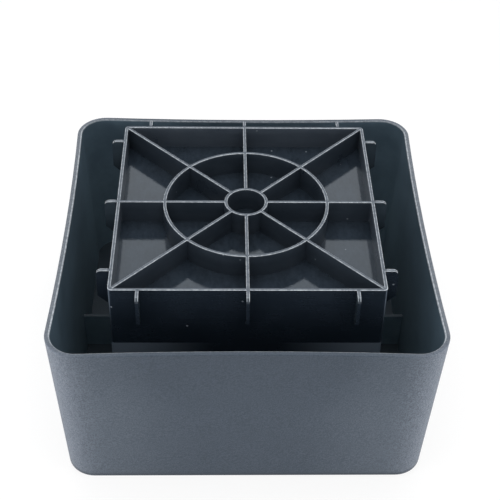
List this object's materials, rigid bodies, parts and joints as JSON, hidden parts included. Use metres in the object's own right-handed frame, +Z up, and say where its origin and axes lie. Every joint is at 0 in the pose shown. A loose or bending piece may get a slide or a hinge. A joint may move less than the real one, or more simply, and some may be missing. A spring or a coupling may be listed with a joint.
{
  "type": "bed riser connector",
  "caption": "Square moulded plastic connector for stacking bed risers: an open tapered sleeve round a raised ribbed block with centring fins, and a recess below.",
  "frame": {"origin": "centre of the underside, on the surface it stands on", "axes": "+Z up through the open end, X and Y square to the sleeve's sides"},
  "size_m": [0.152, 0.152, 0.086],
  "materials": {
    "moulded_plastic": "fine spark texture outside, smooth satin inside"
  },
  "bodies": {
    "root": {"riser_connector": "moulded_plastic"}
  },
  "joints": []
}
